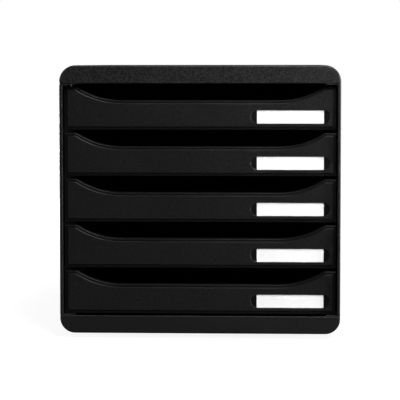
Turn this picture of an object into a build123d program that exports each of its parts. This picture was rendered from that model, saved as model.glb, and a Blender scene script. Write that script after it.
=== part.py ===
from build123d import *
import os
from math import sqrt

# Desktop drawer unit in black polystyrene: two side panels, a top cap, a base cap and a
# rear panel snap together round five paper drawers. Millimetres, front towards -Y, Z up,
# origin on the table under the middle of the case.

# Case
case_width = 278.0
case_depth = 347.0
side_wall = 3.0
cap_wall = 2.6
top_cap_height = 18.0
base_cap_height = 17.6
top_corner_radius = 16.3
base_corner_radius = 15.0
cap_edge_radius = 1.6
panel_edge_radius = 1.2
cap_rim_chamfer = 0.3
seam_height = 0.45
seam_depth = 0.7

# Fronts, as they stand in the case
drawer_count = 5
front_height = 42.7
front_gap = 2.95
sill_gap = 0.25
head_gap = 1.85
side_gap = 1.4
front_recess = 5.0

# One drawer front: a plate with a rim, a raised face and a scooped top edge
front_depth = 10.0
front_wall = 3.0
return_wall = 2.4
rim_width = 3.0
rim_step = 0.8
rim_top_chamfer = 0.8
rim_side_chamfer = 0.3
face_edge_chamfer = 0.4
scoop_depth = 13.4
scoop_run = 44.3
shoulder_width = 12.1
shoulder_radius = 5.0

# Label pocket in the front
label_width = 66.0
label_height = 13.0
label_side_margin = 12.3
label_rise = 6.4
notch_length = 6.0
lip_thickness = 0.5
lip_reach = 0.8
label_slot_depth = 0.8
label_clearance = 0.1
card_thickness = 0.3
window_thickness = 0.3
label_stack_gap = 0.05

# Tray behind the front
tray_wall = 2.0
tray_lift = 1.2
tray_rim_drop = 6.5
tray_corner_radius = 7.0
tray_edge_chamfer = 2.5
tray_side_gap = 1.0
tray_back_gap = 0.9
flange_thickness = 2.0

# Runners inside the side panels, and the stops that keep a drawer in
runner_width = 6.0
runner_thickness = 2.0
runner_clearance = 0.2
closing_gap = 0.6
drawer_travel = 260.0
stop_clearance = 0.3
stop_lug_length = 10.0
stop_lug_height = 3.2
stop_lug_gap = 0.6
stop_lug_side_gap = 1.8
stop_block_length = 6.0
stop_block_flat = 2.0
stop_block_height = 4.3
stop_block_side_gap = 1.4

# Ends of the side panels, where the caps snap on
end_flange_thickness = 1.3
end_flange_width = 15.0
end_flange_taper = 1.0
locating_rib_height = 4.5
locating_rib_thickness = 1.8
locating_rib_gap = 0.5
hook_count = 3
hook_spacing = 120.0
hook_width = 12.0
hook_thickness = 1.8
hook_barb = 1.4
hook_head = 2.6
hook_ledge = 1.8
hook_clearance = 0.4
hook_seat_gap = 0.2

# Rear panel and the grooves that hold it
rear_panel_thickness = 2.4
groove_clearance = 0.2
groove_depth = 6.0
groove_inner_rib = 2.0
groove_outer_rib = 3.0
rear_tongue_height = 6.0
rear_tongue_side_gap = 1.0
rear_rib_count = 6
rear_rib_spacing = 42.0
rear_rib_width = 3.0
rear_rib_height = 1.6
rear_rib_margin = 14.0

# Stiffening ribs inside both caps
cap_rib_thickness = 1.6
cap_rib_height = 8.0
cap_long_rib_spacing = 84.0
cap_cross_rib_spacing = 105.0

# Feet
foot_seat_depth = 1.2
foot_pad_radius = 9.0
foot_tip_radius = 8.2
foot_pad_clearance = 0.1
foot_pad_exposed = 5.4
foot_side_inset = 30.0
foot_end_inset = 52.0

# How far a feature runs into the wall that carries it, so that the two become one solid
overlap = 0.5

# Places across the case
half_width = case_width / 2
panel_inner = half_width - side_wall
front_half = panel_inner - side_gap
runner_tip = panel_inner - runner_width
tray_half = runner_tip - tray_side_gap
tray_root = tray_half - overlap
lug_reach = panel_inner - stop_lug_side_gap
slot_outer = panel_inner - hook_ledge
hook_outer = slot_outer - hook_clearance
hook_inner = hook_outer - hook_thickness
slot_inner = hook_inner - hook_barb - hook_clearance
end_flange_tip = half_width - end_flange_width

# Places along the case
hook_places = [(index - (hook_count - 1) / 2) * hook_spacing for index in range(hook_count)]
case_front = -case_depth / 2
case_back = case_depth / 2
front_face = case_front + front_recess
rim_face = front_face + rim_step
plate_back = front_face + front_wall
plate_middle = front_face + front_wall / 2
front_back = front_face + front_depth
runner_front = front_back + closing_gap
rear_panel_back = case_back - groove_outer_rib - groove_clearance
rear_panel_front = rear_panel_back - rear_panel_thickness
groove_front = rear_panel_front - groove_clearance - groove_inner_rib
tray_back = groove_front - tray_back_gap
lug_front = tray_back - stop_lug_length
stop_back = lug_front - drawer_travel - stop_clearance

# Heights
pitch = front_height + front_gap
base_bottom = foot_pad_exposed
base_top = base_bottom + base_cap_height
opening_bottom = base_top + end_flange_thickness
fronts_height = drawer_count * front_height + (drawer_count - 1) * front_gap
opening_top = opening_bottom + sill_gap + fronts_height + head_gap
cap_bottom = opening_top + end_flange_thickness
case_top = cap_bottom + top_cap_height
rim_top = front_height - tray_rim_drop
tray_height = rim_top - tray_lift
flange_underside = rim_top - flange_thickness
runner_top = flange_underside - runner_clearance
runner_underside = runner_top - runner_thickness
top_corner = min(top_corner_radius, top_cap_height - 2 * cap_rim_chamfer)
base_corner = min(base_corner_radius, base_cap_height - 2 * cap_rim_chamfer)


def front_bottom(number):
    """Height of the lower edge of a front; drawer 1 is the top one."""
    return opening_bottom + sill_gap + (drawer_count - number) * pitch


def facing_front(y):
    """Sketch plane across the case at depth y: local x is X, local y is Z."""
    return Plane.XZ.offset(-y)


def corner_rise(x, radius, wall):
    """How far a cap's rounded corner stands above its centre at this x, wall deep in the corner."""
    return sqrt((radius - wall) ** 2 - (x - (half_width - radius)) ** 2)


def export(part, name):
    """Label one finished piece and write its STEP file."""
    part.label = name
    export_step(part, f"parts/{name}.step")


def hook_section(root, seat, tip):
    """Section of a pair of snap hooks: arms run from root to tip, with barbs that catch at seat."""
    with BuildSketch() as section:
        with BuildLine():
            Polyline(
                (hook_inner, root),
                (hook_outer, root),
                (hook_outer, seat),
                (hook_outer + hook_barb, seat),
                (hook_outer, tip),
                (hook_inner, tip),
                close=True,
            )
        make_face()
        mirror(about=Plane.YZ)
    return section.sketch


def cap_ribs(floor, direction):
    """Grid of ribs on a cap's inside, with one ahead of the rear panel, added to the part being built."""
    rib_centre = floor + direction * (cap_rib_height - overlap) / 2
    rib_size = cap_rib_height + overlap
    flat_width = case_width - 2 * max(top_corner, base_corner)
    with Locations((0, 0, rib_centre)):
        with GridLocations(cap_long_rib_spacing, 0, 2, 1):
            Box(cap_rib_thickness, case_depth - 2 * cap_wall + overlap, rib_size)
        with GridLocations(0, cap_cross_rib_spacing, 1, 3):
            Box(flat_width, cap_rib_thickness, rib_size)
    with Locations((0, groove_front + groove_inner_rib / 2, rib_centre)):
        Box(flat_width, groove_inner_rib, rib_size)


def locating_ribs(low, high):
    """Ribs between the snap hooks that centre a cap on a side panel, added to the part being built."""
    outer = panel_inner - locating_rib_gap
    length = hook_spacing - hook_width - 4 * hook_clearance
    with Locations((outer - locating_rib_thickness / 2, 0, (low + high) / 2)):
        with GridLocations(0, hook_spacing, 1, hook_count - 1):
            Box(locating_rib_thickness, length, high - low)


def front_outline(number, inset=0.0):
    """Outline of one drawer front with its scooped top edge, drawn in by inset all round."""
    low = front_bottom(number)
    high = low + front_height
    scoop_end = front_half - shoulder_width
    flat_end = scoop_end - scoop_run
    with BuildSketch() as outline:
        with BuildLine():
            Polyline(
                (-scoop_end, high),
                (-front_half, high),
                (-front_half, low),
                (front_half, low),
                (front_half, high),
                (scoop_end, high),
            )
            TangentArc((flat_end, high - scoop_depth), (scoop_end, high), tangent=(1, 0))
            Line((-flat_end, high - scoop_depth), (flat_end, high - scoop_depth))
            TangentArc((-flat_end, high - scoop_depth), (-scoop_end, high), tangent=(-1, 0))
        make_face()
        fillet(vertices().filter_by(lambda v: abs(abs(v.X) - scoop_end) < 0.01), shoulder_radius)
        if inset > 0:
            offset(amount=-inset, mode=Mode.REPLACE)
    return outline.sketch


def label_centre(number):
    """Middle of a label, as x and z."""
    x = front_half - label_side_margin - label_width / 2
    z = front_bottom(number) + label_rise + label_height / 2
    return x, z


os.makedirs("parts", exist_ok=True)

# Top cap: a shallow lid with rounded upper corners
with BuildPart() as top_cap:
    with BuildSketch(facing_front(case_front)) as outline:
        with Locations((0, cap_bottom + top_cap_height / 2)):
            Rectangle(case_width, top_cap_height)
        fillet(vertices().group_by(Axis.Y)[-1], top_corner)
    extrude(amount=-case_depth)
    ends = faces().sort_by(Axis.Y)[0].edges() + faces().sort_by(Axis.Y)[-1].edges()
    fillet(ends.filter_by(lambda e: e.center().Z > cap_bottom + overlap), cap_edge_radius)
    chamfer(faces().sort_by(Axis.Z)[0].edges(), cap_rim_chamfer)
    with BuildSketch(facing_front(case_front + cap_wall)) as hollow:
        with Locations((0, cap_bottom + (top_cap_height - cap_wall) / 2)):
            Rectangle(case_width - 2 * cap_wall, top_cap_height - cap_wall)
        fillet(vertices().group_by(Axis.Y)[-1], top_corner - cap_wall)
    extrude(amount=-(case_depth - 2 * cap_wall), mode=Mode.SUBTRACT)
    cap_ribs(case_top - cap_wall, -1)
    hook_top = case_top - top_corner
    root_inner = hook_top + corner_rise(hook_inner, top_corner, cap_wall)
    root_outer = hook_top + corner_rise(hook_outer, top_corner, 0)
    seat_height = opening_top - hook_seat_gap
    with BuildSketch(*[facing_front(place) for place in hook_places]) as hooks:
        add(hook_section((root_inner + root_outer) / 2, seat_height, seat_height - hook_head))
    extrude(amount=hook_width / 2, both=True)

# Base cap: the same lid turned over, with four seats for the feet below
with BuildPart() as base_cap:
    with BuildSketch(facing_front(case_front)) as outline:
        with Locations((0, base_bottom + base_cap_height / 2)):
            Rectangle(case_width, base_cap_height)
        fillet(vertices().group_by(Axis.Y)[0], base_corner)
    extrude(amount=-case_depth)
    ends = faces().sort_by(Axis.Y)[0].edges() + faces().sort_by(Axis.Y)[-1].edges()
    fillet(ends.filter_by(lambda e: e.center().Z < base_top - overlap), cap_edge_radius)
    chamfer(faces().sort_by(Axis.Z)[-1].edges(), cap_rim_chamfer)
    with BuildSketch(facing_front(case_front + cap_wall)) as hollow:
        with Locations((0, base_top - (base_cap_height - cap_wall) / 2)):
            Rectangle(case_width - 2 * cap_wall, base_cap_height - cap_wall)
        fillet(vertices().group_by(Axis.Y)[0], base_corner - cap_wall)
    extrude(amount=-(case_depth - 2 * cap_wall), mode=Mode.SUBTRACT)
    cap_ribs(base_bottom + cap_wall, 1)
    hook_bottom = base_bottom + base_corner
    root_inner = hook_bottom - corner_rise(hook_inner, base_corner, cap_wall)
    root_outer = hook_bottom - corner_rise(hook_outer, base_corner, 0)
    seat_height = opening_bottom + hook_seat_gap
    with BuildSketch(*[facing_front(place) for place in hook_places]) as hooks:
        add(hook_section((root_inner + root_outer) / 2, seat_height, seat_height + hook_head))
    extrude(amount=hook_width / 2, both=True)
    foot_grid = GridLocations(case_width - 2 * foot_side_inset, case_depth - 2 * foot_end_inset, 2, 2)
    with BuildSketch(Plane.XY.offset(base_bottom)) as seats:
        with foot_grid:
            Circle(foot_pad_radius + foot_pad_clearance)
    extrude(amount=foot_seat_depth, mode=Mode.SUBTRACT)

# Right side panel: a flat wall with end flanges, a shadow gap under each cap, five runners and the rear groove
with BuildPart() as right_side_panel:
    with BuildSketch(facing_front(case_front)) as section:
        with BuildLine() as wall_line:
            Polyline(
                (half_width, base_top),
                (half_width, cap_bottom),
                (end_flange_tip + end_flange_taper, cap_bottom),
                (end_flange_tip, cap_bottom - end_flange_thickness / 2),
                (end_flange_tip + end_flange_taper, opening_top),
                (panel_inner, opening_top),
                (panel_inner, opening_bottom),
                (end_flange_tip + end_flange_taper, opening_bottom),
                (end_flange_tip, base_top + end_flange_thickness / 2),
                (end_flange_tip + end_flange_taper, base_top),
                close=True,
            )
        make_face()
    extrude(amount=-case_depth)
    outer_ends = edges().filter_by(Axis.Z).group_by(Axis.X)[-1]
    fillet(outer_ends, panel_edge_radius)
    for seam_bottom in (base_top, cap_bottom - seam_height):
        with BuildSketch(Plane.XY.offset(seam_bottom)) as shadow_gap:
            Rectangle(case_width, case_depth)
            Rectangle(case_width - 2 * seam_depth, case_depth - 2 * seam_depth, mode=Mode.SUBTRACT)
        extrude(amount=seam_height, mode=Mode.SUBTRACT)
    locating_ribs(cap_bottom - overlap, cap_bottom + locating_rib_height)
    locating_ribs(base_top - locating_rib_height, base_top + overlap)
    for number in range(1, drawer_count + 1):
        top = front_bottom(number) + runner_top
        with BuildSketch(Plane.XY.offset(top - runner_thickness)) as runner:
            with Locations((runner_tip + (runner_width + overlap) / 2, (runner_front + groove_front + overlap) / 2)):
                Rectangle(runner_width + overlap, groove_front + overlap - runner_front)
        extrude(amount=runner_thickness)
        with BuildSketch(Plane.YZ.offset(runner_tip + stop_block_side_gap - tray_side_gap)) as stop:
            with BuildLine() as stop_line:
                stop_low = top - runner_thickness - stop_block_height
                Polyline(
                    (stop_back, top - runner_thickness / 2),
                    (stop_back, stop_low),
                    (stop_back - stop_block_flat, stop_low),
                    (stop_back - stop_block_length, top - runner_thickness),
                    (stop_back - stop_block_length, top - runner_thickness / 2),
                    close=True,
                )
            make_face()
        extrude(amount=runner_width)
    groove_centre = (opening_bottom + opening_top) / 2
    for low, thickness in ((groove_front, groove_inner_rib), (case_back - groove_outer_rib, groove_outer_rib)):
        with Locations((panel_inner - (groove_depth - overlap) / 2, low + thickness / 2, groove_centre)):
            Box(groove_depth + overlap, thickness, opening_top - opening_bottom + overlap)
    with Locations(((slot_inner + slot_outer) / 2, 0, 0)):
        with GridLocations(0, hook_spacing, 1, hook_count):
            with Locations((0, 0, cap_bottom), (0, 0, base_top)):
                Box(
                    slot_outer - slot_inner,
                    hook_width + 2 * hook_clearance,
                    4 * end_flange_thickness,
                    mode=Mode.SUBTRACT,
                )

with BuildPart() as left_side_panel:
    mirror(right_side_panel.part, about=Plane.YZ)

# Rear panel: slides down the grooves, with a tongue in each cap and ribs on its back
with BuildPart() as rear_panel:
    panel_half = panel_inner - groove_clearance
    tongue_half = end_flange_tip - rear_tongue_side_gap
    with BuildSketch(facing_front(rear_panel_front)) as plate:
        with Locations((0, (opening_bottom + opening_top) / 2)):
            Rectangle(2 * panel_half, opening_top - opening_bottom - 2 * groove_clearance)
        with Locations((0, (base_top + cap_bottom) / 2)):
            Rectangle(2 * tongue_half, cap_bottom - base_top + 2 * rear_tongue_height)
    extrude(amount=-rear_panel_thickness)
    with BuildSketch(facing_front(rear_panel_back)) as ribs:
        with Locations((0, (opening_bottom + opening_top) / 2)):
            with GridLocations(rear_rib_spacing, 0, rear_rib_count, 1):
                Rectangle(rear_rib_width, opening_top - opening_bottom - 2 * rear_rib_margin)
    extrude(amount=-rear_rib_height)

export(top_cap.part, "top_cap")
export(base_cap.part, "base_cap")
export(right_side_panel.part, "right_side_panel")
export(left_side_panel.part, "left_side_panel")
export(rear_panel.part, "rear_panel")

# Rubber feet, turned, pressed into their seats and narrower towards the table
with BuildPart() as foot:
    with BuildSketch(Plane.XZ) as profile:
        with BuildLine():
            Polyline(
                (0, 0),
                (foot_tip_radius, 0),
                (foot_pad_radius, foot_pad_exposed + foot_seat_depth),
                (0, foot_pad_exposed + foot_seat_depth),
                close=True,
            )
        make_face()
    revolve(axis=Axis.Z)
foot_x = half_width - foot_side_inset
foot_y = case_back - foot_end_inset
export(Location((-foot_x, -foot_y, 0)) * foot.part, "foot_front_left")
export(Location((foot_x, -foot_y, 0)) * foot.part, "foot_front_right")
export(Location((-foot_x, foot_y, 0)) * foot.part, "foot_rear_left")
export(Location((foot_x, foot_y, 0)) * foot.part, "foot_rear_right")

# Drawers, each with the card and the clear window that slide into its label pocket
for number in range(1, drawer_count + 1):
    low = front_bottom(number)
    tray_bottom = low + tray_lift

    with BuildPart() as drawer:
        with BuildSketch(Plane.XY.offset(tray_bottom)) as tray_outline:
            with Locations((0, (plate_middle + tray_back) / 2)):
                Rectangle(2 * tray_half, tray_back - plate_middle)
            fillet(vertices().group_by(Axis.Y)[-1], tray_corner_radius)
        extrude(amount=tray_height)
        chamfer(faces().sort_by(Axis.Z)[0].edges().sort_by(Axis.Y)[1:], tray_edge_chamfer)
        offset(amount=-tray_wall, openings=[faces().sort_by(Axis.Z)[-1], faces().sort_by(Axis.Y)[0]])

        with BuildSketch(facing_front(rim_face)) as outline:
            add(front_outline(number))
        extrude(amount=-(front_back - rim_face))
        rim_edges = faces().sort_by(Axis.Y)[0].edges()
        side_edges = rim_edges.filter_by(Axis.Z) + rim_edges.sort_by(Axis.Z)[:1]
        chamfer([edge for edge in rim_edges if edge not in side_edges], rim_top_chamfer)
        rim_edges = faces().sort_by(Axis.Y)[0].edges()
        chamfer(rim_edges.filter_by(Axis.Z) + rim_edges.sort_by(Axis.Z)[:1], rim_side_chamfer)
        with BuildSketch(facing_front(front_face)) as raised_face:
            add(front_outline(number, rim_width))
        extrude(amount=-(plate_middle - front_face))
        chamfer(faces().sort_by(Axis.Y)[0].edges(), face_edge_chamfer)

        with BuildSketch(facing_front(plate_back)) as hollow:
            add(front_outline(number, return_wall))
            with Locations((0, tray_bottom + tray_height / 2)):
                Rectangle(2 * tray_half, tray_height, mode=Mode.SUBTRACT)
        extrude(amount=-(front_depth - front_wall), mode=Mode.SUBTRACT)
        with BuildSketch(facing_front(plate_back)) as inside:
            add(front_outline(number, return_wall))
            with Locations((0, tray_bottom + tray_wall + tray_height / 2)):
                Rectangle(2 * (tray_half - tray_wall), tray_height, mode=Mode.INTERSECT)
        extrude(amount=-(front_depth - front_wall), mode=Mode.SUBTRACT)

        flange_middle = (front_back - overlap + tray_back) / 2
        flange_length = tray_back - front_back + overlap
        with BuildSketch(Plane.XY.offset(low + flange_underside)) as flanges:
            with Locations((-(tray_root + front_half) / 2, flange_middle), ((tray_root + front_half) / 2, flange_middle)):
                Rectangle(front_half - tray_root, flange_length)
        extrude(amount=flange_thickness)
        lug_x = (tray_root + lug_reach) / 2
        lug_y = (lug_front + tray_back) / 2
        lug_z = low + runner_underside - stop_lug_gap - stop_lug_height / 2
        with Locations((-lug_x, lug_y, lug_z), (lug_x, lug_y, lug_z)):
            Box(lug_reach - tray_root, stop_lug_length, stop_lug_height)

        label_x, label_z = label_centre(number)
        with BuildSketch(facing_front(front_face)) as pocket:
            with Locations((label_x, label_z)):
                SlotOverall(label_width + 2 * notch_length, label_height)
        extrude(amount=-(lip_thickness + label_slot_depth), mode=Mode.SUBTRACT)
        with BuildSketch(facing_front(front_face + lip_thickness)) as label_slot:
            with Locations((label_x, label_z)):
                Rectangle(label_width + 2 * label_clearance, label_height + 2 * lip_reach)
        extrude(amount=-label_slot_depth, mode=Mode.SUBTRACT)
    export(drawer.part, f"drawer_{number}")

    insert_height = label_height + 2 * (lip_reach - label_clearance)
    card_back = front_face + lip_thickness + label_slot_depth - label_stack_gap
    window_back = card_back - card_thickness - label_stack_gap
    with BuildPart() as label_card:
        with BuildSketch(facing_front(card_back)) as card:
            with Locations((label_x, label_z)):
                Rectangle(label_width, insert_height)
        extrude(amount=card_thickness)
    export(label_card.part, f"label_card_{number}")

    with BuildPart() as label_window:
        with BuildSketch(facing_front(window_back)) as strip:
            with Locations((label_x, label_z)):
                Rectangle(label_width, insert_height)
        extrude(amount=window_thickness)
    export(label_window.part, f"label_window_{number}")
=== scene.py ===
"""Desktop drawer unit in black moulded plastic: finishes, rounded edges, studio and camera.

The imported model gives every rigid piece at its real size. This script puts copies with
rounded edges in the place of its shells and drawers, turns the feet, dresses every piece,
and sets a plain studio round the unit.
"""

from __future__ import annotations

import logging
import math
from dataclasses import dataclass
from enum import Enum
from typing import Any, Callable

import bpy
from mathutils import Matrix, Vector

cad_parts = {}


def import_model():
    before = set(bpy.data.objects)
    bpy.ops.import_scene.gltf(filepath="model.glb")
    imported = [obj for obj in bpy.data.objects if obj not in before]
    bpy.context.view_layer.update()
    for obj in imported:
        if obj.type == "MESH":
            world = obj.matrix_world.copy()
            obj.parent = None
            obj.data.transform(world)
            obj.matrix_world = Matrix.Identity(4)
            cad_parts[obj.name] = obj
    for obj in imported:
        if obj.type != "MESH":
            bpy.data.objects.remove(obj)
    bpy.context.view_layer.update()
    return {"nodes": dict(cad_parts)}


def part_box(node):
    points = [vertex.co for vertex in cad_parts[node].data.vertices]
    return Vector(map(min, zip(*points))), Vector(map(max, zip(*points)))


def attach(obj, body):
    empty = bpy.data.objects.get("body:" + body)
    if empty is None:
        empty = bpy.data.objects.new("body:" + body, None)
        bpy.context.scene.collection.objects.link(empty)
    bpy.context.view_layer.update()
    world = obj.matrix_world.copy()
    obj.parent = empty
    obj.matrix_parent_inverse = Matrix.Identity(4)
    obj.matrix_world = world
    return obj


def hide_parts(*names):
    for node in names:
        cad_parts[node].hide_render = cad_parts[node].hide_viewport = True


LOG = logging.getLogger("drawer_unit")
MM = 0.001
CASING = "casing"
DRAWER_COUNT = 5
WELD = 0.002 * MM
FLAT = math.radians(0.4)
SMOOTH = math.radians(40.0)

# Material slots of a rounded piece, after its skin in slot 0
EDGE_SLOT = 1
FACE_SLOT = 2


class Side(Enum):
    """The two sides of the unit, as seen from the front."""

    LEFT = "left"
    RIGHT = "right"


class End(Enum):
    """The two ends of the unit along its depth."""

    FRONT = "front"
    REAR = "rear"


class NodeSheet:
    """A short way to add and join nodes in one node tree."""

    def __init__(self, tree: bpy.types.NodeTree) -> None:
        """Starts an empty sheet.

        Args:
            tree: The node tree to write in. Its nodes are cleared.
        """
        self.tree = tree
        tree.nodes.clear()

    def add(self, kind: str, settings: dict[str, Any] | None = None, **inputs: Any) -> bpy.types.Node:
        """Adds a node, sets its properties and fills or links its inputs.

        Args:
            kind: The node's type name.
            settings: Properties of the node, such as its operation.
            **inputs: Input sockets by name, with spaces as underscores, or by index as in0, in1.
                A socket is linked and any other value is set.

        Returns:
            The new node.
        """
        node = self.tree.nodes.new(kind)
        for key, value in (settings or {}).items():
            setattr(node, key, value)
        for key, value in inputs.items():
            by_index = key[:2] == "in" and key[2:].isdigit()
            name: int | str = int(key[2:]) if by_index else key.replace("_", " ")
            if isinstance(value, bpy.types.NodeSocket):
                self.tree.links.new(value, node.inputs[name])
            else:
                node.inputs[name].default_value = value
        return node

    def maths(self, operation: str, *values: Any, clamp: bool = False) -> bpy.types.NodeSocket:
        """Adds a Math node.

        Args:
            operation: The Math node's operation.
            *values: Its inputs in order, as numbers or sockets.
            clamp: Whether the result is kept between 0 and 1.

        Returns:
            The socket with its result.
        """
        settings = {"operation": operation, "use_clamp": clamp}
        inputs = {f"in{index}": value for index, value in enumerate(values)}
        return self.add("ShaderNodeMath", settings, **inputs).outputs[0]

    def remap(
        self, value: bpy.types.NodeSocket, low: float, high: float, to_low: float, to_high: float
    ) -> bpy.types.NodeSocket:
        """Maps a value from one range to another, held at the ends.

        Args:
            value: The socket to map.
            low: Start of the range that it has.
            high: End of the range that it has.
            to_low: Start of the range that it gets.
            to_high: End of the range that it gets.

        Returns:
            The socket with the mapped value.
        """
        ends = {"From_Min": low, "From_Max": high, "To_Min": to_low, "To_Max": to_high}
        return self.add("ShaderNodeMapRange", Value=value, **ends).outputs["Result"]

    def tint(self, colour: tuple[float, float, float], tone: bpy.types.NodeSocket) -> bpy.types.NodeSocket:
        """Makes a colour lighter or darker by a pattern.

        Args:
            colour: The colour where the pattern is 1.
            tone: The pattern.

        Returns:
            The socket with the tinted colour.
        """
        return self.add("ShaderNodeVectorMath", {"operation": "SCALE"}, in0=colour, Scale=tone).outputs[0]

    def on_object(self) -> bpy.types.NodeSocket:
        """Returns the Object coordinates."""
        return self.add("ShaderNodeTexCoord").outputs["Object"]

    def group(self, tree: bpy.types.NodeTree, **inputs: Any) -> bpy.types.Node:
        """Places a node group and fills or links its inputs.

        Args:
            tree: The node group.
            **inputs: Its inputs by name.

        Returns:
            The new node.
        """
        return self.add("ShaderNodeGroup", {"node_tree": tree}, **inputs)


class EffectGroups:
    """Shader node groups that more than one finish uses, each built once."""

    noise_middle = 0.5
    noise_span = (0.3, 0.7)
    pebble_blend = 0.7
    pebble_share = 0.8
    pit_scale = 0.55

    def __init__(self) -> None:
        """Builds the groups."""
        self.grain = self._group(
            "moulded_grain", ("Size", "Variation"), ("Height", "Tone", "Speckle"), self._fill_grain
        )
        self.handling = self._group(
            "handling_marks", ("Size", "Strength"), ("Roughness",), self._fill_handling
        )

    def _group(
        self,
        name: str,
        inputs: tuple[str, ...],
        outputs: tuple[str, ...],
        fill: Callable[[NodeSheet, bpy.types.Node, bpy.types.Node], None],
    ) -> bpy.types.NodeTree:
        """Makes one node group with a vector input, number inputs and number outputs.

        Args:
            name: The group's name.
            inputs: Names of its number inputs.
            outputs: Names of its number outputs.
            fill: The method that adds the nodes between them.

        Returns:
            The node group.
        """
        tree = bpy.data.node_groups.new(name, "ShaderNodeTree")
        sheet = NodeSheet(tree)
        tree.interface.new_socket("Vector", in_out="INPUT", socket_type="NodeSocketVector")
        for label in inputs:
            tree.interface.new_socket(label, in_out="INPUT", socket_type="NodeSocketFloat")
        for label in outputs:
            tree.interface.new_socket(label, in_out="OUTPUT", socket_type="NodeSocketFloat")
        fill(sheet, sheet.add("NodeGroupInput"), sheet.add("NodeGroupOutput"))
        return tree

    def _fill_grain(self, sheet: NodeSheet, entry: bpy.types.Node, leave: bpy.types.Node) -> None:
        """Fills the grain group: shallow pebbles of a spark-eroded mould, Size metres across.

        Height is their relief, Tone is near 1 and Speckle runs from -1 to 1.

        Args:
            sheet: The group's node sheet.
            entry: The group's input node.
            leave: The group's output node.
        """
        place = entry.outputs["Vector"]
        scale = sheet.maths("DIVIDE", 1.0, entry.outputs["Size"])
        pebbles = sheet.add(
            "ShaderNodeTexVoronoi",
            {"feature": "SMOOTH_F1"},
            Vector=place,
            Scale=scale,
            Smoothness=self.pebble_blend,
        ).outputs[0]
        pit_scale = sheet.maths("MULTIPLY", scale, self.pit_scale)
        pits = sheet.add(
            "ShaderNodeTexNoise", Vector=place, Scale=pit_scale, Detail=3.0, Roughness=0.6
        ).outputs[0]
        height = sheet.maths("SUBTRACT", pits, sheet.maths("MULTIPLY", pebbles, self.pebble_share))
        spread = sheet.maths("SUBTRACT", pits, self.noise_middle)
        tone = sheet.maths("MULTIPLY_ADD", spread, entry.outputs["Variation"], 1.0)
        dots = sheet.add("ShaderNodeTexNoise", Vector=place, Scale=scale, Detail=1.0, Roughness=0.5)
        speckle = sheet.remap(dots.outputs[0], *self.noise_span, -1.0, 1.0)
        for label, value in (("Height", height), ("Tone", tone), ("Speckle", speckle)):
            sheet.tree.links.new(value, leave.inputs[label])

    def _fill_handling(self, sheet: NodeSheet, entry: bpy.types.Node, leave: bpy.types.Node) -> None:
        """Fills the handling group: soft patches where fingers and dust change the gloss.

        Args:
            sheet: The group's node sheet.
            entry: The group's input node.
            leave: The group's output node.
        """
        scale = sheet.maths("DIVIDE", 1.0, entry.outputs["Size"])
        patches = sheet.add("ShaderNodeTexNoise", Vector=entry.outputs["Vector"], Scale=scale, Detail=4.0)
        spread = sheet.maths("SUBTRACT", patches.outputs[0], self.noise_middle)
        change = sheet.maths("MULTIPLY", spread, entry.outputs["Strength"])
        sheet.tree.links.new(change, leave.inputs["Roughness"])


def new_material(name: str) -> tuple[bpy.types.Material, NodeSheet]:
    """Makes a material with an empty node sheet.

    Args:
        name: The material's name.

    Returns:
        The material and its sheet.
    """
    material = bpy.data.materials.new(name)
    material.use_nodes = True
    return material, NodeSheet(material.node_tree)


@dataclass(frozen=True)
class MouldedPlastic:
    """Black injection-moulded plastic, with a spark-eroded grain or a smooth satin skin.

    Speckle is how far single grains are glossier or duller than the rest.
    """

    name: str
    colour: tuple[float, float, float]
    roughness: float
    grain_size: float
    grain_depth: float
    tone_spread: float
    speckle: float = 0.0
    gloss: float = 0.5
    marks: float = 0.10
    marks_size: float = 60 * MM

    def build(self, groups: EffectGroups) -> bpy.types.Material:
        """Builds the material.

        Args:
            groups: The shared effect groups.

        Returns:
            The finished material.
        """
        material, sheet = new_material(self.name)
        place = sheet.on_object()
        grain = sheet.group(groups.grain, Vector=place, Size=self.grain_size, Variation=self.tone_spread)
        marks = sheet.group(groups.handling, Vector=place, Size=self.marks_size, Strength=self.marks)
        rough = sheet.maths("ADD", marks.outputs["Roughness"], self.roughness, clamp=True)
        bump = sheet.add(
            "ShaderNodeBump", Strength=1.0, Distance=self.grain_depth, Height=grain.outputs["Height"]
        )
        shader = sheet.add(
            "ShaderNodeBsdfPrincipled",
            Base_Color=sheet.tint(self.colour, grain.outputs["Tone"]),
            Specular_IOR_Level=self.gloss,
            Roughness=rough,
            Normal=bump.outputs[0],
        )
        if self.speckle:
            dots = grain.outputs["Speckle"]
            level = sheet.maths("MULTIPLY_ADD", dots, self.speckle, self.gloss, clamp=True)
            sheet.tree.links.new(level, shader.inputs["Specular IOR Level"])
        sheet.add("ShaderNodeOutputMaterial", Surface=shader.outputs[0])
        return material


@dataclass(frozen=True)
class Paper:
    """Plain white card with a faint fibre."""

    name: str = "label_paper"
    colour: tuple[float, float, float] = (0.95, 0.95, 0.945)
    roughness: float = 0.85
    fibre_size: float = 0.4 * MM
    fibre_depth: float = 0.03 * MM
    fibre_strength: float = 0.3
    tone_spread: float = 0.03

    def build(self, groups: EffectGroups) -> bpy.types.Material:
        """Builds the material.

        Args:
            groups: The shared effect groups.

        Returns:
            The finished material.
        """
        material, sheet = new_material(self.name)
        place = sheet.on_object()
        fibre = sheet.group(groups.grain, Vector=place, Size=self.fibre_size, Variation=self.tone_spread)
        bump = sheet.add(
            "ShaderNodeBump",
            Strength=self.fibre_strength,
            Distance=self.fibre_depth,
            Height=fibre.outputs["Height"],
        )
        shader = sheet.add(
            "ShaderNodeBsdfPrincipled",
            Base_Color=sheet.tint(self.colour, fibre.outputs["Tone"]),
            Roughness=self.roughness,
            Normal=bump.outputs[0],
        )
        sheet.add("ShaderNodeOutputMaterial", Surface=shader.outputs[0])
        return material


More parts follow.
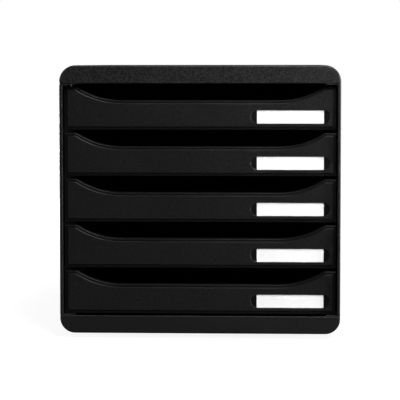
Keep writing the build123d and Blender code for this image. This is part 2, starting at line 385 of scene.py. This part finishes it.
@dataclass(frozen=True)
class ClearStrip:
    """Thin clear film that shows the card under it."""

    name: str = "clear_strip"
    colour: tuple[float, float, float, float] = (0.95, 0.95, 0.95, 1.0)
    alpha: float = 0.06
    roughness: float = 0.12
    marks: float = 0.06
    marks_size: float = 20 * MM

    def build(self, groups: EffectGroups) -> bpy.types.Material:
        """Builds the material.

        Args:
            groups: The shared effect groups.

        Returns:
            The finished material.
        """
        material, sheet = new_material(self.name)
        place = sheet.on_object()
        marks = sheet.group(groups.handling, Vector=place, Size=self.marks_size, Strength=self.marks)
        rough = sheet.maths("ADD", marks.outputs["Roughness"], self.roughness, clamp=True)
        shader = sheet.add(
            "ShaderNodeBsdfPrincipled", Base_Color=self.colour, Roughness=rough, Alpha=self.alpha
        )
        sheet.add("ShaderNodeOutputMaterial", Surface=shader.outputs[0])
        return material


class Finish(Enum):
    """The finishes that the unit is dressed in."""

    TOP = MouldedPlastic(
        "top_grain",
        (0.0039, 0.0039, 0.0041),
        roughness=0.44,
        grain_size=1.5 * MM,
        grain_depth=0.16 * MM,
        tone_spread=0.7,
        speckle=0.31,
    )
    CASE = MouldedPlastic(
        "case_grain",
        (0.0036, 0.0036, 0.0038),
        roughness=0.43,
        grain_size=1.4 * MM,
        grain_depth=0.12 * MM,
        tone_spread=0.5,
        speckle=0.075,
    )
    # Rounded case edges: a lighter colour than the case, a painted highlight along every edge, with a
    # smoother, finer-grained skin
    CASE_EDGE = MouldedPlastic(
        "case_edge_painted_highlight",
        (0.0068, 0.0068, 0.0070),
        roughness=0.38,
        grain_size=0.9 * MM,
        grain_depth=0.02 * MM,
        tone_spread=0.4,
    )
    FACE = MouldedPlastic(
        "drawer_grain",
        (0.0064, 0.0064, 0.0066),
        roughness=0.33,
        grain_size=1.4 * MM,
        grain_depth=0.07 * MM,
        tone_spread=0.4,
        speckle=0.125,
    )
    # Drawer rim and rounded edges: a darker colour than the face, a painted shade, with lower gloss and
    # finer grain than the face
    RIM = MouldedPlastic(
        "drawer_satin_rim",
        (0.0030, 0.0030, 0.0032),
        roughness=0.36,
        grain_size=0.8 * MM,
        grain_depth=0.01 * MM,
        tone_spread=0.2,
        gloss=0.2,
        marks=0.05,
    )
    INSIDE = MouldedPlastic(
        "drawer_satin_inside",
        (0.0050, 0.0050, 0.0052),
        roughness=0.36,
        grain_size=2.4 * MM,
        grain_depth=0.03 * MM,
        tone_spread=0.3,
    )
    RUBBER = MouldedPlastic(
        "foot_rubber",
        (0.012, 0.012, 0.012),
        roughness=0.78,
        grain_size=0.6 * MM,
        grain_depth=0.04 * MM,
        tone_spread=0.3,
    )
    CARD = Paper()
    WINDOW = ClearStrip()


class Wardrobe:
    """Builds each finish once and puts it on pieces."""

    def __init__(self) -> None:
        """Builds the effect groups and all finishes."""
        groups = EffectGroups()
        self.materials = {finish: finish.value.build(groups) for finish in Finish}

    def dress(self, piece: bpy.types.Object, *finishes: Finish) -> None:
        """Gives one piece its finishes, one material slot each.

        Args:
            piece: The object to dress.
            *finishes: The finishes in the order of the slots.
        """
        piece.data.materials.clear()
        for finish in finishes:
            piece.data.materials.append(self.materials[finish])


def place_new(name: str, data: Any) -> bpy.types.Object:
    """Adds an object to the scene, at the origin.

    Args:
        name: The object's name.
        data: Its mesh, lamp or camera.

    Returns:
        The new object.
    """
    thing = bpy.data.objects.new(name, data)
    bpy.context.scene.collection.objects.link(thing)
    return thing


def only(piece: bpy.types.Object) -> None:
    """Makes one object the only selected and the active one.

    Args:
        piece: The object.
    """
    bpy.ops.object.select_all(action="DESELECT")
    bpy.context.view_layer.objects.active = piece
    piece.select_set(True)


def stands_for(piece: bpy.types.Object, body: str, node: str) -> None:
    """Lets a new piece take the place of a packed one.

    Args:
        piece: The new piece.
        body: The body that it rides.
        node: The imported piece.
    """
    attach(piece, body)
    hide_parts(node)


@dataclass(frozen=True)
class Moulding:
    """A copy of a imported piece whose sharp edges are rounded, so that they catch the light."""

    node: bpy.types.Object
    body: str
    slot: str
    edge_round: float
    edge_steps: int = 2
    sharper_than: float = math.radians(27.0)

    def build(self) -> bpy.types.Object:
        """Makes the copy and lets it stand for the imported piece.

        Returns:
            The new piece, still undressed.
        """
        name = f"{self.node.name}_moulding"
        piece = place_new(name, self.node.data.copy())
        piece.data.name = name
        only(piece)
        self._merge()
        bpy.ops.object.shade_smooth_by_angle(angle=SMOOTH)
        self._round(piece)
        stands_for(piece, self.body, self.node.name)
        return piece

    def _merge(self) -> None:
        """Joins the loose triangles of the active piece and makes its flat faces whole."""
        bpy.ops.object.mode_set(mode="EDIT")
        bpy.ops.mesh.select_all(action="SELECT")
        bpy.ops.mesh.customdata_custom_splitnormals_clear()
        bpy.ops.mesh.remove_doubles(threshold=WELD)
        bpy.ops.mesh.dissolve_limited(angle_limit=FLAT)
        bpy.ops.object.mode_set(mode="OBJECT")

    def _round(self, piece: bpy.types.Object) -> None:
        """Rounds the sharp edges, into their own material slot, and keeps the flats' shading.

        Args:
            piece: The active piece.
        """
        rounding = piece.modifiers.new("rounding", "BEVEL")
        rounding.width = self.edge_round
        rounding.segments = self.edge_steps
        rounding.limit_method = "ANGLE"
        rounding.angle_limit = self.sharper_than
        rounding.use_clamp_overlap = False
        rounding.material = EDGE_SLOT
        shading = piece.modifiers.new("shading", "WEIGHTED_NORMAL")
        shading.keep_sharp = True
        for name in (rounding.name, shading.name):
            bpy.ops.object.modifier_apply(modifier=name)


@dataclass(frozen=True)
class Shell:
    """One shell of the case, with its finish and the width of its rounded edges."""

    name: str
    finish: Finish
    edge_round: float


@dataclass
class Case:
    """The fixed shell: two caps, two side panels and the rear panel."""

    nodes: dict[str, bpy.types.Object]
    shells: tuple[Shell, ...] = (
        Shell("top_cap", Finish.TOP, 0.35 * MM),
        Shell("base_cap", Finish.CASE, 0.35 * MM),
        Shell("left_side_panel", Finish.CASE, 0.15 * MM),
        Shell("right_side_panel", Finish.CASE, 0.15 * MM),
        Shell("rear_panel", Finish.CASE, 0.3 * MM),
    )

    def build(self, wardrobe: Wardrobe) -> None:
        """Makes the shells with rounded edges and dresses them.

        Args:
            wardrobe: The finishes.
        """
        for shell in self.shells:
            piece = Moulding(self.nodes[shell.name], CASING, "case_plastic", shell.edge_round).build()
            # The rounded edges take a lighter colour, a painted highlight
            wardrobe.dress(piece, shell.finish, Finish.CASE_EDGE)
            LOG.info("%s made, %d faces", shell.name, len(piece.data.polygons))


@dataclass
class Feet:
    """Four rubber feet under the base cap, turned once and copied.

    The rings give the radius and the height above the floor of the profile's corners, in mm.
    """

    rings: tuple[tuple[float, float], ...] = (
        (0.0, 0.5),
        (4.6, 0.5),
        (5.1, 0.0),
        (7.5, 0.0),
        (8.0, 0.3),
        (8.25, 0.9),
    )
    steps: int = 72

    def build(self, wardrobe: Wardrobe) -> None:
        """Turns the first foot, copies it to the others' places and dresses all four.

        Args:
            wardrobe: The finishes.
        """
        names = [f"foot_{end.value}_{side.value}" for end in End for side in Side]
        pattern = self._turn(names[0])
        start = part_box(names[0])[0]
        for name in names:
            mesh = pattern.copy()
            mesh.name = f"{name}_turned"
            mesh.transform(Matrix.Translation(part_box(name)[0] - start))
            foot = place_new(mesh.name, mesh)
            stands_for(foot, CASING, name)
            wardrobe.dress(foot, Finish.RUBBER)
            LOG.info("%s made", name)

    def _turn(self, name: str) -> bpy.types.Mesh:
        """Turns the profile round the axis of one packed foot.

        Args:
            name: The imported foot.

        Returns:
            The turned mesh, at that foot's place and in no scene.
        """
        low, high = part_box(name)
        middle = (low + high) / 2
        radius = (high.x - low.x) / 2
        profile = [(middle.x + r * MM, middle.y, low.z + z * MM) for r, z in self.rings]
        profile += [(middle.x + radius, middle.y, high.z), (middle.x, middle.y, high.z)]
        mesh = bpy.data.meshes.new("foot_pattern")
        mesh.from_pydata(profile, [(index, index + 1) for index in range(len(profile) - 1)], [])
        lathe = place_new(mesh.name, mesh)
        only(lathe)
        bpy.ops.object.mode_set(mode="EDIT")
        bpy.ops.mesh.select_all(action="SELECT")
        bpy.ops.mesh.spin(steps=self.steps, angle=2 * math.pi, center=middle, axis=(0.0, 0.0, 1.0))
        bpy.ops.mesh.select_all(action="SELECT")
        bpy.ops.mesh.remove_doubles(threshold=WELD)
        bpy.ops.mesh.normals_make_consistent(inside=False)
        bpy.ops.object.mode_set(mode="OBJECT")
        bpy.ops.object.shade_smooth_by_angle(angle=SMOOTH)
        bpy.data.objects.remove(lathe)
        return mesh


@dataclass
class Drawer:
    """One drawer with its label card and clear strip."""

    number: int
    nodes: dict[str, bpy.types.Object]
    edge_round: float = 0.18 * MM
    rim_step: float = 0.8 * MM
    rim_depth: float = 1.1 * MM
    slack: float = 0.05 * MM

    def build(self, wardrobe: Wardrobe) -> None:
        """Makes the drawer with rounded edges and dresses it and its label.

        Args:
            wardrobe: The finishes.
        """
        name = f"drawer_{self.number}"
        body = f"drawer_body_{self.number}"
        drawer = Moulding(self.nodes[name], body, "drawer_plastic", self.edge_round).build()
        # The rim and rounded edges take a darker colour, a painted shade
        wardrobe.dress(drawer, Finish.INSIDE, Finish.RIM, Finish.FACE)
        self._sort_faces(drawer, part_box(name)[0].y)
        wardrobe.dress(self.nodes[f"label_card_{self.number}"], Finish.CARD)
        wardrobe.dress(self.nodes[f"label_window_{self.number}"], Finish.WINDOW)
        LOG.info("%s made, %d faces", name, len(drawer.data.polygons))

    def _sort_faces(self, drawer: bpy.types.Object, front: float) -> None:
        """Gives the raised face and the rim round it their own finishes.

        Args:
            drawer: The drawer.
            front: Where its raised face is, along Y.
        """
        rim_back = front + self.rim_step + self.rim_depth
        for face in drawer.data.polygons:
            if face.center.y < front + self.slack:
                face.material_index = FACE_SLOT
            elif face.center.y < rim_back:
                face.material_index = EDGE_SLOT


@dataclass(frozen=True)
class SoftBox:
    """One rectangular studio lamp that points at the unit."""

    name: str
    place: tuple[float, float, float]
    size: tuple[float, float]
    power: float
    aim: tuple[float, float, float] = (0.0, 0.0, 0.13)
    spread: float = math.pi

    def build(self) -> None:
        """Adds the lamp."""
        lamp = bpy.data.lights.new(self.name, "AREA")
        lamp.shape = "RECTANGLE"
        lamp.size, lamp.size_y = self.size
        lamp.energy = self.power
        lamp.spread = self.spread
        stand = place_new(self.name, lamp)
        stand.location = self.place
        beam = Vector(self.aim) - Vector(self.place)
        stand.rotation_euler = beam.to_track_quat("-Z", "Y").to_euler()


@dataclass
class Studio:
    """White floor, faint room light, lamps and camera."""

    camera_place: tuple[float, float, float] = (0.0969, -2.1735, 0.2728)
    camera_tilt: float = -0.067115
    camera_roll: float = 0.000372
    camera_turn: float = 0.048225
    lens_mm: float = 183.0
    sensor_mm: float = 36.0
    sight: float = 50.0
    floor_half: float = 6.0
    floor_tone: float = 0.30
    floor_bounce: float = 0.06
    # The floor's glow is lower next to the unit and rises to full further off: a painted shade round the
    # unit
    shadow_reach: float = 0.35
    shadow_end: float = 1.05
    painted_shade_glow: float = 0.90
    room_light: float = 0.02
    lamps: tuple[SoftBox, ...] = (
        SoftBox("key_high", (0.6, -1.5, 1.9), (0.8, 0.8), 52.0),
        SoftBox(
            "corner_glow",
            (0.9, -1.9, 0.62),
            (0.3, 0.3),
            0.08,
            aim=(0.20, -0.17, 0.31),
            spread=math.radians(14.0),
        ),
        SoftBox("side_low", (1.6, -0.75, 0.15), (0.5, 0.5), 38.0),
        SoftBox("left_low", (-1.6, -0.9, 0.3), (0.6, 0.6), 3.0),
        SoftBox("rear_low", (-0.9, 1.6, 0.14), (1.0, 0.2), 26.0),
        SoftBox("rear_soft", (-0.9, 1.9, 1.3), (1.2, 1.2), 7.0),
    )

    def build(self) -> None:
        """Sets up the whole studio."""
        self._floor()
        self._world()
        for lamp in self.lamps:
            lamp.build()
        self._camera()
        bpy.context.scene.view_settings.view_transform = "Standard"
        LOG.info("studio set")

    def _floor(self) -> None:
        """Adds the floor, which shows the unit's shadow and merges with the white room further off."""
        bpy.ops.mesh.primitive_plane_add(size=2 * self.floor_half, location=(0.0, 0.0, 0.0))
        floor = bpy.context.object
        floor.name = "floor"
        material, sheet = new_material("floor_white")
        reach = sheet.add("ShaderNodeVectorMath", {"operation": "LENGTH"}, in0=sheet.on_object())
        # Painted shade: the floor glows less near the unit than further off
        glow = sheet.remap(reach.outputs["Value"], self.shadow_reach, self.shadow_end, self.painted_shade_glow, 1.0)
        seen = sheet.add("ShaderNodeLightPath").outputs["Is Camera Ray"]
        tone = sheet.remap(seen, 0.0, 1.0, self.floor_bounce, self.floor_tone)
        matt = sheet.add("ShaderNodeBsdfDiffuse", Color=tone)
        light = sheet.add("ShaderNodeEmission", Strength=sheet.maths("MULTIPLY", seen, glow))
        both = sheet.add("ShaderNodeAddShader", in0=matt.outputs[0], in1=light.outputs[0])
        sheet.add("ShaderNodeOutputMaterial", Surface=both.outputs[0])
        floor.data.materials.append(material)

    def _world(self) -> None:
        """Lights the room faintly, and shows it as white behind the unit."""
        world = bpy.data.worlds.new("studio_room")
        bpy.context.scene.world = world
        world.use_nodes = True
        sheet = NodeSheet(world.node_tree)
        seen = sheet.add("ShaderNodeLightPath").outputs["Is Camera Ray"]
        strength = sheet.remap(seen, 0.0, 1.0, self.room_light, 1.0)
        sky = sheet.add("ShaderNodeBackground", Color=(1.0, 1.0, 1.0, 1.0), Strength=strength)
        sheet.add("ShaderNodeOutputWorld", Surface=sky.outputs[0])

    def _camera(self) -> None:
        """Adds the camera at the photograph's place, found by fitting the unit's straight edges."""
        lens = bpy.data.cameras.new("camera")
        lens.lens = self.lens_mm
        lens.sensor_width = self.sensor_mm
        lens.clip_end = self.sight
        camera = place_new("camera", lens)
        camera.location = self.camera_place
        camera.rotation_euler = (math.pi / 2 + self.camera_tilt, self.camera_roll, self.camera_turn)
        bpy.context.scene.camera = camera


def main() -> None:
    """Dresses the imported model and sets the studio."""
    logging.basicConfig(level=logging.INFO, format="%(name)s: %(message)s")
    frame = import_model()
    nodes = frame["nodes"]
    wardrobe = Wardrobe()
    Case(nodes).build(wardrobe)
    Feet().build(wardrobe)
    for number in range(1, DRAWER_COUNT + 1):
        Drawer(number, nodes).build(wardrobe)
    Studio().build()


if __name__ == "__main__":
    main()
